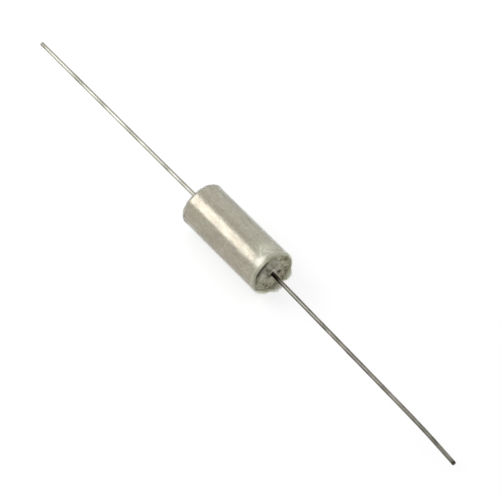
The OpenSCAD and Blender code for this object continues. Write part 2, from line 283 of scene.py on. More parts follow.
# blotch is how many lumps of colour a millimetre has, and rough the least and the most roughness
looks = {
    "tinnedCan": {
        "blotch": 0.55, "stretch": (0.7, 1, 1), "detail": 3.5,
        "tones": [(0.3, (0.375, 0.355, 0.305)), (0.5, (0.42, 0.413, 0.35)), (0.7, (0.46, 0.47, 0.405))],
        # The side mark tints the can pinker toward -Y, a painted reflection
        "marks": [("side", (1.05, 0.945, 0.915), 1.0, "MULTIPLY")],
        "rough": (0.22, 0.31), "relief": [(0.5, 0.02, (0.6, 1, 1)), (1.6, 0.004, even)],
        "shader": {"Metallic": 1.0},
    },
    "tinnedWire": {
        "blotch": 0.9, "stretch": (0.35, 1, 1),
        "tones": [(0.32, (0.22, 0.21, 0.175)), (0.45, (0.35, 0.34, 0.295)),
                  (0.6, (0.42, 0.415, 0.37)), (0.75, (0.50, 0.495, 0.45))],
        # The streak mark darkens a line along one side of the wire
        "marks": [("wireStreak", (0.20, 0.20, 0.17), 0.55, "MIX")],
        "rough": (0.42, 0.52), "relief": [(5, 0.002, (0.06, 1, 1))],
        "shader": {"Metallic": 1.0},
    },
    # The same tinned wire as the other lead, its tones darkened as painted shade
    "shadedWire": {
        "blotch": 1.0, "stretch": (0.45, 1, 1),
        "tones": [(0.32, (0.055, 0.05, 0.038)), (0.45, (0.13, 0.122, 0.1)),
                  (0.6, (0.20, 0.19, 0.16)), (0.75, (0.31, 0.30, 0.265))],
        # A painted highlight streak, then burnt flux and painted shade by the seal and on the cut tip
        "marks": [("wireStreak", (0.30, 0.29, 0.255), 0.7, "MIX"), ("fluxAndShade", (0.018, 0.014, 0.008), 1.0, "MIX")],
        "rough": (0.24, 0.32), "relief": [(5, 0.002, (0.06, 1, 1))],
        "shader": {"Metallic": 1.0},
    },
    "dullSolder": {
        "blotch": 1.7,
        "tones": [(0.3, (0.12, 0.115, 0.07)), (0.45, (0.27, 0.26, 0.18)),
                  (0.6, (0.39, 0.38, 0.28)), (0.75, (0.56, 0.55, 0.43))],
        # Chalk with painted highlights, pink patches, grime with painted shade, and painted shade in the pits
        "marks": [("chalkAndHighlight", (0.58, 0.56, 0.46), 0.6, "MIX"), ("pinkTint", (0.40, 0.34, 0.29), 0.7, "MIX"),
                  ("grimeAndShade", (0.035, 0.032, 0.018), 0.9, "MIX"), ("hollow", (0.03, 0.028, 0.02), 1.0, "MIX")],
        "rough": (0.38, 0.6), "relief": [(3.4, 0.03, even)],
        "shader": {"Metallic": 0.8},
    },
    "brightSolder": {
        "blotch": 1.4,
        "tones": [(0.3, (0.40, 0.37, 0.32)), (0.55, (0.50, 0.46, 0.41)), (0.8, (0.60, 0.56, 0.50))],
        # Burnt flux and painted shade on one side of the lead, painted shade on another
        "marks": [("fluxAndShade", (0.025, 0.019, 0.011), 0.95, "MIX"), ("dull", (0.25, 0.24, 0.18), 0.8, "MIX")],
        "rough": (0.3, 0.44), "relief": [(3, 0.01, even)],
        "shader": {"Metallic": 1.0},
    },
    "sealGlass": {
        "blotch": 1.0,
        "tones": [(0.3, (0.11, 0.105, 0.065)), (0.45, (0.21, 0.20, 0.135)),
                  (0.6, (0.31, 0.30, 0.215)), (0.75, (0.43, 0.42, 0.32))],
        # As on dullSolder, and burnt flux with painted shade beside the tubelet
        "marks": [("chalkAndHighlight", (0.50, 0.485, 0.39), 0.6, "MIX"), ("pinkTint", (0.38, 0.315, 0.27), 0.75, "MIX"),
                  ("grimeAndShade", (0.03, 0.027, 0.015), 0.9, "MIX"), ("hollow", (0.025, 0.023, 0.016), 1.0, "MIX"),
                  ("fluxAndShade", (0.03, 0.024, 0.014), 0.9, "MIX")],
        "rough": (0.22, 0.42), "relief": [(3.4, 0.025, even)],
        "shader": {"Metallic": 0.0, "IOR": 1.52, "Coat Weight": 0.3, "Coat Roughness": 0.2},
    },
    "sealMetal": {
        "blotch": 1.8, "tones": [(0.3, (0.36, 0.35, 0.31)), (0.7, (0.50, 0.485, 0.44))],
        # Burnt flux and painted shade on one side, painted shade on another
        "marks": [("fluxAndShade", (0.03, 0.024, 0.014), 0.45, "MIX"), ("dull", (0.22, 0.21, 0.155), 0.6, "MIX")],
        "rough": (0.32, 0.5), "relief": [(8, 0.005, even)],
        "shader": {"Metallic": 1.0},
    },
    "weldMetal": {
        "blotch": 4, "tones": [(0.3, (0.30, 0.29, 0.27)), (0.7, (0.46, 0.45, 0.43))],
        "rough": (0.3, 0.55), "relief": [(9, 0.008, even)],
        "shader": {"Metallic": 1.0},
    },
    "tantalumWire": {
        "blotch": 3, "stretch": (0.2, 1, 1), "tones": [(0.3, (0.33, 0.34, 0.38)), (0.7, (0.43, 0.44, 0.48))],
        "rough": (0.3, 0.45), "relief": [(10, 0.003, (0.1, 1, 1))],
        "shader": {"Metallic": 1.0},
    },
    "sinteredTantalum": {
        "blotch": 5, "tones": [(0.3, (0.12, 0.125, 0.135)), (0.7, (0.21, 0.215, 0.23))],
        "rough": (0.6, 0.85), "relief": [(16, 0.02, even)],
        "shader": {"Metallic": 0.7},
    },
    "manganeseDioxide": {
        "blotch": 3, "tones": [(0.3, (0.018, 0.017, 0.016)), (0.7, (0.045, 0.042, 0.04))],
        "rough": (0.55, 0.8), "relief": [(9, 0.015, even)],
        "shader": {"Metallic": 0.0},
    },
    "graphitePaint": {
        "blotch": 2.5, "tones": [(0.3, (0.035, 0.035, 0.037)), (0.7, (0.075, 0.075, 0.078))],
        "rough": (0.45, 0.65), "relief": [(8, 0.008, even)],
        "shader": {"Metallic": 0.2},
    },
    "silverPaint": {
        "blotch": 2.5, "tones": [(0.3, (0.55, 0.54, 0.50)), (0.7, (0.68, 0.66, 0.62))],
        "rough": (0.4, 0.6), "relief": [(7, 0.008, even)],
        "shader": {"Metallic": 0.8},
    },
    "whitePlastic": {
        "blotch": 2, "tones": [(0.3, (0.80, 0.80, 0.77)), (0.7, (0.87, 0.87, 0.85))],
        "rough": (0.4, 0.55), "relief": [(6, 0.004, even)],
        "shader": {"Metallic": 0.0, "Subsurface Weight": 0.1},
    },
}
finishes = {name: newFinish(name, look)[0] for name, look in looks.items()}

# Clear film gone a little milky: a pale skin that lets the can show through, thicker to the eye along its
# rims
paleFilm = (0.62, 0.62, 0.51)
film = {
    "look": {
        "blotch": 0.5, "stretch": (0.4, 1, 1),
        "tones": [(0.3, (0.335, 0.33, 0.255)), (0.55, (0.38, 0.375, 0.295)), (0.8, (0.435, 0.43, 0.345))],
        # The pale mark is paler underneath and along the fold: painted light on rims that lie in the can's
        # shade
        "marks": [("pale", paleFilm, 0.9, "MIX"), ("crease", paleFilm, 0.9, "MIX"),
                  # The last mark is a painted highlight where the can's highlight meets the sealed rim
                  ("paintedGlint", (0.80, 0.775, 0.63), 1.0, "MIX")],
        "rough": (0.22, 0.34), "relief": [(1.6, 0.008, (0.3, 1, 1))],
        "shader": {"Metallic": 0.0, "IOR": 1.5, "Subsurface Weight": 0.6, "Subsurface Radius": (1, 1, 0.85),
                   "Subsurface Scale": 0.5 * mm},
    },
    "wallHaze": 0.17, "rimHaze": 0.92, "creaseHaze": 0.4,
    "streakScale": 1.4, "streakStretch": (0.15, 1, 1), "streakSpan": (0.85, 1.15),
}


def filmFinish():
    # Haze rises from wallHaze to rimHaze with the rim attribute. Streaks along the can break it up, and the
    # crests of the creases add to it
    material, tree, shader = newFinish("clearFilm", film["look"])
    haze = rangeOf(tree, attributeOf(tree, "rim"), film["wallHaze"], film["rimHaze"], 0, 1)
    streak = rangeOf(tree, noiseAt(tree, film["streakScale"], film["streakStretch"]), *film["streakSpan"])
    both = addNode(tree, "ShaderNodeMath", operation="MULTIPLY")
    tree.links.new(haze, both.inputs[0])
    tree.links.new(streak, both.inputs[1])
    crest = addNode(tree, "ShaderNodeMath", operation="MULTIPLY_ADD", use_clamp=True)
    tree.links.new(attributeOf(tree, "crease"), crest.inputs[0])
    crest.inputs[1].default_value = film["creaseHaze"]
    tree.links.new(both.outputs[0], crest.inputs[2])
    tree.links.new(crest.outputs[0], shader.inputs["Alpha"])
    return material


finishes["clearFilm"] = filmFinish()
print("finishes made:", len(finishes))

poleRadius = 0.02   # radius of the ring next to a pole
seamGap = 0.01      # a closed loop of corners starts this far from where it ends

can = {
    "halfLength": 8.25,
    "radius": 3.545,
    "wall": 0.3,
    "corner": 0.35,
    "lip": 0.05,
    "step": 0.3,
    "around": 256,
}


def canSkin():
    # A drawn cup turned round the axis: flat bottom, rounded corner, wall, lip, and the same back inside.
    # Its side attribute runs from 0 toward +Y to 1 toward -Y: a painted reflection, pinker toward -Y
    end, r, t = can["halfLength"], can["radius"], can["wall"]
    line = softened([(-end, poleRadius), (-end, r, can["corner"]), (end, r, can["lip"]),
                     (end, r - t, can["lip"]), (t - end, r - t, can["corner"] - t), (t - end, poleRadius)],
                    can["step"])
    angle = turns(can["around"])
    x, y, z = roundTheAxis(line[:, :1], line[:, 1:], angle)
    return ringPiece("tinnedCan", x, y, z, False, {"side": 0.5 - 0.5 * np.sin(angle) + 0 * x}, sharp=50)


# Where two values stand under 1 and -1, they are for the sealed and the closed end of the can
sleeve = {
    "radius": 3.699,
    "thickness": 0.125,
    "around": 320,
    "wallRings": (30, 62), "finerFrom": 0.4,    # few rings, then closer ones past this share of the wall
    "curlRings": 15,
    "edgeCuts": (60, 30, 0, -30, -60), "edgeRound": 0.8,    # degrees round the film's edge, and how round it is
    # The rims: film past the ends of the can, curled inwards
    "rimLength": 0.42,
    "waver": [(3, 0.035, 40), (7, 0.0245, 0), (13, 0.014, 70)],
    "curl": {1: 84, -1: 92},         # degrees
    "leavesWall": {1: 0, -1: 0.15},  # the curl starts this far before the can's end
    "swell": {1: 0.205, -1: 0.07},   # how much the curled rim thickens toward the can
    "tongues": [(11, 16, 0.52), (55, 17.5, 0.40)],   # where, half width in degrees, extra length
    "tongueCurl": 26, "tongueSwell": 0.5,   # tongues stand up and keep this share of the swelling
    "fold": (326, 30, 0.40), "foldSwell": 0.75,   # as a tongue, but curled, and swollen by this share of that
    "pleats": [(9, 0.012, 20), (17, 0.014, 130), (29, 0.010, 250), (43, 0.006, 10)],
    "pleatGrowth": 1.5,              # how soon the pleats are full along the curl
    # The wall clings to the can, a little unevenly, and sinks in between its creases near the sealed end
    "cling": 0.004, "pleatHeight": 0.04,
    "sink": 0.02, "sinkAt": 8, "sinkReach": 3,
    # Creases: along the can in mm, degrees round it, heading in degrees, length and width in mm, strength
    "creases": [(6.35, 188, 42, 2.2, 0.11, 1.0), (7.4, 178, -49, 2.0, 0.09, 0.9),
                (6.9, 190, 77, 2.4, 0.08, 0.7), (7.3, 198, 12, 2.4, 0.08, 0.7),
                (6.4, 170, -20, 2.2, 0.09, 0.6), (7.6, 205, 60, 2.2, 0.09, 0.4),
                (5.6, 192, -8, 2.2, 0.10, 0.4), (7.2, 160, 20, 1.8, 0.09, 0.6),
                (7.5, 148, -35, 2.0, 0.10, 0.5), (7.0, 222, -30, 1.6, 0.08, 0.5),
                (6.0, 150, 50, 2.2, 0.09, 0.4), (7.8, 186, 88, 3.0, 0.08, 0.8)],
    "wobble": 0.05, "wobbleRate": 3.1,
    # Milky film: on the rims, thinner on the tongues, and in patches (along, degrees round, reach, strength)
    "hazeFrom": {1: 0.35, -1: 0.0}, "hazeRise": 0.3,    # it starts this far before the curl and rises over this
    # The first of these also sets where the rim is palest, painted light where the rim lies in the can's shade
    "cloudiestAndLit": 30, "leastHaze": 0.65, "closedHaze": 0.7,   # degrees, and shares of the haze
    "tongueClear": 0.67, "clearFrom": 0.2, "clearRise": 0.3,
    # The last cloud, on the sealed rim beside the highlight, is a painted highlight
    "clouds": [(6.8, 186, 1.3, 0.34), (6.6, 160, 1.9, 0.30), (7.2, 240, 1.2, 0.14), (3.6, 178, 1.8, 0.12),
               (-3.5, 262, 2.2, 0.10), (7.9, 196, 0.6, 0.5)],
    "paintedGlint": [(7.85, 204, 0.55, 0.8), (7.95, 216, 0.55, 0.85), (7.35, 213, 0.5, 0.75)],   # painted highlight where the can's highlight meets the sealed rim
    "bare": (212, 14, 0.8), "bareTo": 0.25, "bareFade": 0.2,   # here the film stays clear to the can's edge
}


def unrolled(angle, at):
    # Millimetres round the film from a place given in degrees
    return np.radians(degreesFrom(angle, at)) * sleeve["radius"]


def creaseAmount(x, angle):
    # Each crease is a straight ridge on the unrolled wall with a slight wobble: a bell across it, fading out
    # evenly to its ends
    total = np.zeros(np.broadcast(x, angle).shape)
    for along, at, heading, length, width, strength in sleeve["creases"]:
        awayX, awayRound = x - along, unrolled(angle, at)
        tilt = math.radians(heading)
        run = awayX * math.cos(tilt) + awayRound * math.sin(tilt)
        across = awayRound * math.cos(tilt) - awayX * math.sin(tilt)
        across = across + sleeve["wobble"] * np.sin(sleeve["wobbleRate"] * run + at)
        total += strength * bell(across, width) * np.clip(1 - (2 * run / length) ** 2, 0, 1)
    return total


def patchAmount(patches, x, angle):
    # Round bells on the unrolled wall, added up
    total = np.zeros(np.broadcast(x, angle).shape)
    for along, at, reach, strength in patches:
        total += strength * bell(np.hypot(x - along, unrolled(angle, at)), reach)
    return total


def filmMarks(x, angle, rimShare, standing, folded):
    # How milky, how pale and how white the film is, the white a painted highlight. At the sealed end the rim
    # is cloudiest and palest underneath, where the tongues stand, and along the fold: painted light in shade
    sealed = x > 0
    past = x - can["halfLength"]
    cloudyAndLit = np.maximum(0.5 + 0.5 * np.cos(angle - math.radians(sleeve["cloudiestAndLit"])), folded)
    clear = sleeve["tongueClear"] * standing * np.clip((past - sleeve["clearFrom"]) / sleeve["clearRise"], 0, 1)
    least = sleeve["leastHaze"]
    milky = rimShare * np.where(sealed, (least + (1 - least) * cloudyAndLit) * (1 - clear), sleeve["closedHaze"])
    bareAt, bareWide, bareShare = sleeve["bare"]
    bare = bareShare * bell(degreesFrom(angle, bareAt), bareWide) * sealed
    milky = milky * (1 - bare * np.clip((sleeve["bareTo"] - past) / sleeve["bareFade"], 0, 1))
    cloud = patchAmount(sleeve["clouds"], x, angle) * (1 - rimShare)
    paintedGlint = np.clip(patchAmount(sleeve["paintedGlint"], x, angle), 0, 1)
    pale = rimShare * np.where(sealed, cloudyAndLit, 0) + 2 * cloud
    return np.clip(milky + cloud + paintedGlint, 0, 1), np.clip(pale, 0, 1), paintedGlint


def sleeveSkin():
    # Film round the can: a straight wall, then at both ends an arc that turns inwards, its length and its
    # turn changing round the can. Outer face, rounded edge, inner face and the other edge follow each other
    # in one loop
    angle = turns(sleeve["around"])
    half = sleeve["thickness"] / 2
    middle = sleeve["radius"] - half
    lift = [plateau(degreesFrom(angle, at), wide) for at, wide, _ in sleeve["tongues"]]
    standing = np.minimum(1, sum(lift))
    foldAt, foldWide, foldExtra = sleeve["fold"]
    folded = plateau(degreesFrom(angle, foldAt), foldWide)
    pleats = waves(angle, sleeve["pleats"])
    plain = sleeve["rimLength"] + waves(angle, sleeve["waver"])
    longer = foldExtra * folded + sum(rise * extra for rise, (_, _, extra) in zip(lift, sleeve["tongues"]))
    length = {1: plain + longer, -1: plain}
    sealedCurl, closedCurl = sleeve["curl"][1], sleeve["curl"][-1]
    curl = {1: np.radians(sealedCurl + (sleeve["tongueCurl"] - sealedCurl) * standing),
            -1: np.radians(closedCurl) + 0 * angle}
    start = {end: can["halfLength"] - before for end, before in sleeve["leavesWall"].items()}
    swell = {1: sleeve["swell"][1] * (1 - (1 - sleeve["tongueSwell"]) * standing)
             + sleeve["foldSwell"] * foldExtra * folded,
             -1: sleeve["swell"][-1] + 0 * angle}

    def ringAt(place, side, over=0.0):
        # place runs from -2 to 2, the wall between -1 and 1. side is 1 on the outer face and -1 on the
        # inner one, and over is how far the rounded edge stands out
        end = 1 if place > 0 else -1
        share = max(abs(place) - 1, 0)
        bend = length[end] / curl[end]
        turned = curl[end] * share
        flat = start[end] * min(abs(place), 1)
        crease = np.clip(creaseAmount(end * flat, angle) * (1 - share), 0, 1)
        sink = sleeve["cling"] * (1 + pleats / sleeve["pleatHeight"])
        sink = sink + sleeve["sink"] * (1 - crease) * bell(flat - sleeve["sinkAt"], sleeve["sinkReach"])
        deep = side * half + pleats * min(1, share * sleeve["pleatGrowth"]) - sink * (1 - share)
        if side < 0:
            deep = deep - swell[end] * share
        along = flat + (bend + deep) * np.sin(turned) + over * np.cos(turned)
        radius = middle - bend * (1 - np.cos(turned)) + deep * np.cos(turned) - over * np.sin(turned)
        rimShare = np.clip((along - start[end] + sleeve["hazeFrom"][end]) / sleeve["hazeRise"], 0, 1)
        return end * along + 0 * angle, radius + 0 * angle, rimShare + 0 * angle, crease + 0 * angle

    (few, close), finer = sleeve["wallRings"], sleeve["finerFrom"]
    wall = np.concatenate([np.linspace(-1, finer, few), np.linspace(finer, 1, close)[1:]])
    past = np.linspace(0, 1, sleeve["curlRings"] + 1)[1:]
    places = np.concatenate([-1 - past[::-1], wall, 1 + past])
    cuts = np.radians(sleeve["edgeCuts"])
    rings = [ringAt(place, 1) for place in places]
    rings += [ringAt(2, math.sin(cut), half * math.cos(cut) * sleeve["edgeRound"]) for cut in cuts]
    rings += [ringAt(place, -1) for place in places[::-1]]
    rings += [ringAt(-2, math.sin(cut), half * math.cos(cut) * sleeve["edgeRound"]) for cut in -cuts]
    x, r, rimShare, crease = (np.concatenate(part) for part in zip(*rings))
    milky, pale, paintedGlint = filmMarks(x, angle, rimShare, standing, folded)
    x, y, z = roundTheAxis(x, r, angle)
    return ringPiece("sleeveFilm", x, y, z, True,
                     {"rim": milky, "pale": pale, "crease": crease, "paintedGlint": paintedGlint})


settle(sleeveSkin(), "insulating_sleeve", finishes["clearFilm"])
settle(canSkin(), "case", finishes["tinnedCan"])
print("sleeve and can made")

seal = {
    "x": 7.9,              # outer side of the glass and of the ring round it
    "boreRadius": 2.05,    # here the glass ends and the solder on the ring starts
    "around": 300,
    # Marks on both: degrees, radius, reach, strength
    # Grime spots carry painted shade in pits and by the rim
    "grimeAndShade": [(57, 1.93, 0.25, 1.6), (62, 2.95, 0.17, 0.7), (342, 2.6, 0.26, 0.8), (303, 2.2, 0.3, 0.3),
              (121, 2.25, 0.25, 0.45), (107, 2.75, 0.2, 0.4), (172, 2.1, 0.6, 0.35), (192, 1.75, 0.45, 0.35),
              (217, 1.0, 0.32, 1.0), (8, 3.0, 0.2, 0.5), (42, 3.1, 0.22, 0.5)],
    # Chalk patches carry painted highlights, as on the tubelet top and the band by the fold
    "chalkAndHighlight": [(96, 1.2, 0.3, 1.0), (85, 2.52, 0.36, 0.9), (283, 1.5, 0.5, 0.9), (359, 2.0, 0.4, 0.8),
              (329, 1.65, 0.35, 0.9), (20, 2.5, 0.4, 0.4), (140, 2.9, 0.3, 0.4), (298, 2.95, 0.36, 1.0),
              (314, 2.95, 0.36, 1.0), (330, 2.92, 0.36, 1.0), (346, 3.0, 0.3, 1.0)],
    # Pinkish patches to the right of the lead
    "pinkTint": [(40, 1.4, 0.45, 1.0), (50, 2.5, 0.55, 0.8), (75, 1.0, 0.35, 0.9)],
    # Painted shadow of the rim on one side: past a circle that is set off the other way
    "crescentAt": 232, "crescentWide": 0.7, "crescentOff": 1.6, "crescentRadius": 3.27, "crescentSoft": 0.4,
    # Burnt flux and painted shade on one side of the lead, and painted shade on another: degrees, how
    # quickly each comes, and how much there is of it
    "shadeAndFlux": {"fluxAndShade": (296, 1.3, -0.1), "dull": (215, 0.9, 0.3)},
}


def awayFrom(angle, radius, at, away):
    # Distance on the face from a spot given in degrees and millimetres
    at = math.radians(at)
    return np.hypot(radius * np.sin(angle) - away * math.sin(at), radius * np.cos(angle) - away * math.cos(at))


def pitDepths(angle, radius, pits):
    # Round-bottomed pits, each (degrees, radius, diameter, depth): it sinks by its depth times
    # (1 - (distance / half width)^2)^1.5
    depth = 0
    for at, away, wide, deep in pits:
        spread = (awayFrom(angle, radius, at, away) / (wide / 2)) ** 2
        depth = depth + deep * np.clip(1 - spread, 0, 1) ** 1.5
    return depth


def patchesAt(angle, radius, patches):
    # Soft round marks on the face: bells, added up
    return sum(strength * bell(awayFrom(angle, radius, at, away), reach)
               for at, away, reach, strength in patches)


def faceMarks(angle, radius):
    # Spots of grime with painted shade, of chalk with painted highlights and of pink, and a painted shadow
    # in the crescent between the rim and a circle that is set off
    away = awayFrom(angle, radius, seal["crescentAt"], -seal["crescentOff"])
    turned = np.radians(degreesFrom(angle, seal["crescentAt"]))
    crescent = np.clip((away - seal["crescentRadius"]) / seal["crescentSoft"] + 0.5, 0, 1)
    crescent = crescent * plateau(turned, seal["crescentWide"])
    marks = {key: patchesAt(angle, radius, seal[key]) for key in ("grimeAndShade", "chalkAndHighlight", "pinkTint")}
    marks["grimeAndShade"] = marks["grimeAndShade"] + crescent
    return {key: np.clip(amount, 0, 1) for key, amount in marks.items()}


def shadeAndFluxMarks(angle):
    # Each rises with the cosine of how far round the lead it is
    return {key: np.clip(gain * np.cos(angle - math.radians(at)) + more, 0, 1)
            for key, (at, gain, more) in seal["shadeAndFlux"].items()}


rimSolder = {
    "wallRadius": 3.24,
    "foot": 0.14, "rise": 0.18, "edge": 0.03,
    "least": 0.02,       # thickness that stays under the deepest pit
    "rings": 70, "backRings": 6,
    "lumps": [(1.1, 0.022, 4), (0.45, 0.012, 5)], "lumpsFade": 0.15, "lumpsAtWall": 0.1,
    "pits": [(328, 2.3, 0.34, 0.10), (358, 2.45, 0.30, 0.10), (72, 2.9, 0.30, 0.10),
             (118, 2.7, 0.22, 0.08), (196, 2.55, 0.26, 0.08)],   # degrees, radius, diameter, depth
    "darkDepth": 0.07,   # a pit's painted shade is full this deep
}


def rimSolderSkin():
    # A ring with a flat back. Its front rises from the foot to the can wall along a hollow arc, with lumps
    # and pits
    angle = turns(seal["around"])
    reach = rimSolder["wallRadius"] - seal["boreRadius"] - rimSolder["edge"]
    rise = rimSolder["rise"]
    bend = (reach ** 2 + rise ** 2) / (2 * rise)
    r = np.linspace(rimSolder["wallRadius"], seal["boreRadius"], rimSolder["rings"])[:, None]
    out = np.clip(r - seal["boreRadius"], 0, reach)
    x = seal["x"] + rimSolder["foot"] + bend - np.sqrt(bend ** 2 - out ** 2)
    _, y, z = roundTheAxis(0, r, angle)
    bumpy = np.clip(np.minimum(out, reach - out + rimSolder["lumpsAtWall"]) / rimSolder["lumpsFade"], 0, 1)
    depth = pitDepths(angle, r, rimSolder["pits"])
    x = np.maximum(x + bumpy * lumps(y, z, rimSolder["lumps"]) - depth, seal["x"] + rimSolder["least"])
    back = np.linspace(seal["boreRadius"], rimSolder["wallRadius"], rimSolder["backRings"])[:, None] + 0 * angle
    x = np.concatenate([np.full(back.shape, seal["x"]), x])
    r = np.concatenate([back, r + 0 * angle])
    # Painted shade in the pits, darker the deeper they are
    hollow = np.concatenate([0 * back, np.clip(depth / rimSolder["darkDepth"], 0, 1)])
    marks = faceMarks(angle, r)
    x, y, z = roundTheAxis(x, r, angle)
    return ringPiece("rimSolder", x, y, z, True, {"hollow": hollow, **marks}, sharp=50)


glass = {
    "inner": 0.77, "gap": 0.004,     # radius at the tubelet, and room left to the ring
    "depth": 1.3, "dip": 0.14,       # its back, and how far that is hollowed
    "low": 0.03, "lowRadius": 1.5638, "arc": 1.1446,   # the front's lowest ring, and the radius of its arc
    "rings": 60,
    "lumps": [(0.9, 0.026, 8), (0.4, 0.012, 9)], "lumpsFade": 0.2,
    "pits": [(87, 1.3, 0.30, 0.10), (207, 1.62, 0.40, 0.12), (300, 1.4, 0.24, 0.09), (57, 1.85, 0.38, 0.20)],
    "darkDepth": 0.09,
    # Burnt flux and painted shade round the tubelet, on one side
    "fluxAndShade": 0.4, "stainReach": 0.2,
}


def glassSkin():
    # Turned ring of glass. Its outer face is a hollow arc that climbs the tubelet and the solder's foot,
    # with lumps and pits. Its inner face is a plain hollow arc
    angle = turns(seal["around"])
    inner, outer, arc, dip = glass["inner"], seal["boreRadius"] - glass["gap"], glass["arc"], glass["dip"]
    r = np.linspace(outer, inner, glass["rings"])[:, None]
    front = seal["x"] + glass["low"] + arc - np.sqrt(arc ** 2 - (r - glass["lowRadius"]) ** 2)
    half = (outer - inner) / 2
    bend = (half ** 2 + dip ** 2) / (2 * dip)
    sag = np.sqrt(bend ** 2 - (r[::-1] - inner - half) ** 2) - (bend - dip)
    _, y, z = roundTheAxis(0, r, angle)
    bumpy = np.clip(np.minimum(outer - r, r - inner) / glass["lumpsFade"], 0, 1)
    depth = pitDepths(angle, r, glass["pits"])
    front = front + bumpy * lumps(y, z, glass["lumps"]) - depth
    back = seal["x"] - glass["depth"] + sag + 0 * angle
    x = np.concatenate([back, front])
    # Painted shade in the pits, darker the deeper they are
    hollow = np.concatenate([0 * back, np.clip(depth / glass["darkDepth"], 0, 1)])
    r = np.concatenate([r[::-1], r]) + 0 * angle
    marks = faceMarks(angle, r)
    marks["fluxAndShade"] = glass["fluxAndShade"] * shadeAndFluxMarks(angle)["fluxAndShade"] * bell(r - inner, glass["stainReach"])
    x, y, z = roundTheAxis(x, r, angle)
    return ringPiece("glassBead", x, y, z, True, {"hollow": hollow, **marks}, sharp=50)


settle(rimSolderSkin(), "rim_solder", finishes["dullSolder"])
settle(glassSkin(), "glass_bead", finishes["sealGlass"])

tube = {
    "inX": 6.45, "outX": 8.32,
    "radius": 0.75, "wall": 0.2, "edge": 0.04,
    "seam": 0.3,       # where on the bore its loop of corners starts
    "step": 0.2, "around": 96,
}


def tubeletSkin():
    # A plain tube turned round the axis, its edges rounded
    inX, outX, outer, edge = tube["inX"], tube["outX"], tube["radius"], tube["edge"]
    inner, seam = outer - tube["wall"], inX + tube["seam"]
    line = softened([(seam, inner), (inX, inner, edge), (inX, outer, edge), (outX, outer, edge),
                     (outX, inner, edge), (seam + seamGap, inner)], tube["step"])
    angle = turns(tube["around"])
    x, y, z = roundTheAxis(line[:, :1], line[:, 1:], angle)
    # Burnt flux and painted shade on one side, painted shade on another
    marks = {key: amount + 0 * x for key, amount in shadeAndFluxMarks(angle).items()}
    return ringPiece("sealTubelet", x, y, z, True, marks, sharp=50)


leadSolder = {
    "foot": 0.72, "bore": 0.3375, "edge": 0.03,
    "rise": 0.26, "arcRings": 16,
    "depth": 0.9, "plug": 0.53,     # how far it fills the tubelet, and its radius in there
    "lean": 0.22, "leanAt": 2.2,    # it is this share lower at one side, in radians round the lead
    "step": 0.1, "around": 96,
}


def leadSolderSkin():
    # Solder that fills the tubelet's end and climbs the lead along a hollow arc, a little higher on one side
    angle = turns(leadSolder["around"])
    foot, bore, edge, rise, plug = (leadSolder[key] for key in ("foot", "bore", "edge", "rise", "plug"))
    mouth, bottom = tube["outX"], tube["outX"] - leadSolder["depth"]
    reach, climb = foot - bore - edge, rise - edge
    bend = (reach ** 2 + climb ** 2) / (2 * reach)
    down = climb * np.linspace(0, 1, leadSolder["arcRings"])
    arcR = bore + edge + bend - np.sqrt(np.clip(bend ** 2 - down ** 2, 0, None))
    arcX = mouth + rise - down
    x = np.concatenate([[bottom, bottom, mouth, mouth], arcX[::-1], [mouth + rise, bottom + seamGap]])
    r = np.concatenate([[bore, plug, plug, foot], arcR[::-1], [bore, bore]])
    line = softened(np.stack([x, r], axis=-1).tolist(), leadSolder["step"])[:-1]
    x, r = line[:, :1], line[:, 1:]
    above = np.clip((x - mouth) / rise, 0, 1)
    lean = 1 - leadSolder["lean"] * above * (0.5 + 0.5 * np.cos(angle - leadSolder["leanAt"]))
    x = np.where(above > 0, mouth + (x - mouth) * lean, x)
    x, y, z = roundTheAxis(x, r + 0 * angle, angle)
    # Burnt flux and painted shade on one side, painted shade on another
    marks = {key: amount + 0 * x for key, amount in shadeAndFluxMarks(angle).items()}
    return ringPiece("leadSolder", x, y, z, True, marks, sharp=40)


settle(tubeletSkin(), "tubelet", finishes["sealMetal"])
settle(leadSolderSkin(), "tubelet_solder", finishes["brightSolder"])
print("sealed face made")

lead = {
    "radius": 0.3175,
    "chamfer": 0.06,
    "startX": 5.95, "bendX": 9.07,
    "rootBend": (20, 1.9),      # radius and degrees, downwards
    "shank": 29.22695,
    "tipBend": (80, 5.4),
    "tip": 3.2,
    "around": 56,
    "rings": 220, "walkSteps": 4001,
    "pole": 0.05,               # the ring next to a pole, against the wire's radius
    # Burnt flux and painted shade by the seal: it ends at this X, thins out over this length, lies to one side
    "fluxAndShadeEnd": 12.4, "fluxReach": 2.6, "fluxAndShadeFade": 1.6, "fluxAndShadeAt": 275, "fluxAndShadeGain": 0.6, "fluxAndShadeMore": 0.5,
    "tipShade": 0.8, "tipShadeFrom": 0.5, "tipShadeRise": 0.3,   # painted shade on the cut tip
    # Painted highlights: a band along the whole wire, uneven, and a stronger one beside the flux
    "wireStreakAt": 208, "wireStreakLeast": 0.75, "wireStreakWaves": [(0.5, 0.25, 0), (1.7, 0.15, 80)],
    "rootHighlightAt": 145, "rootHighlight": 1.3,
}


def streakAt(angle, at):
    # A band along a wire: a painted highlight on the positive lead, a darker line on the negative one
    return bell(np.radians(degreesFrom(angle, at)), 0.4)


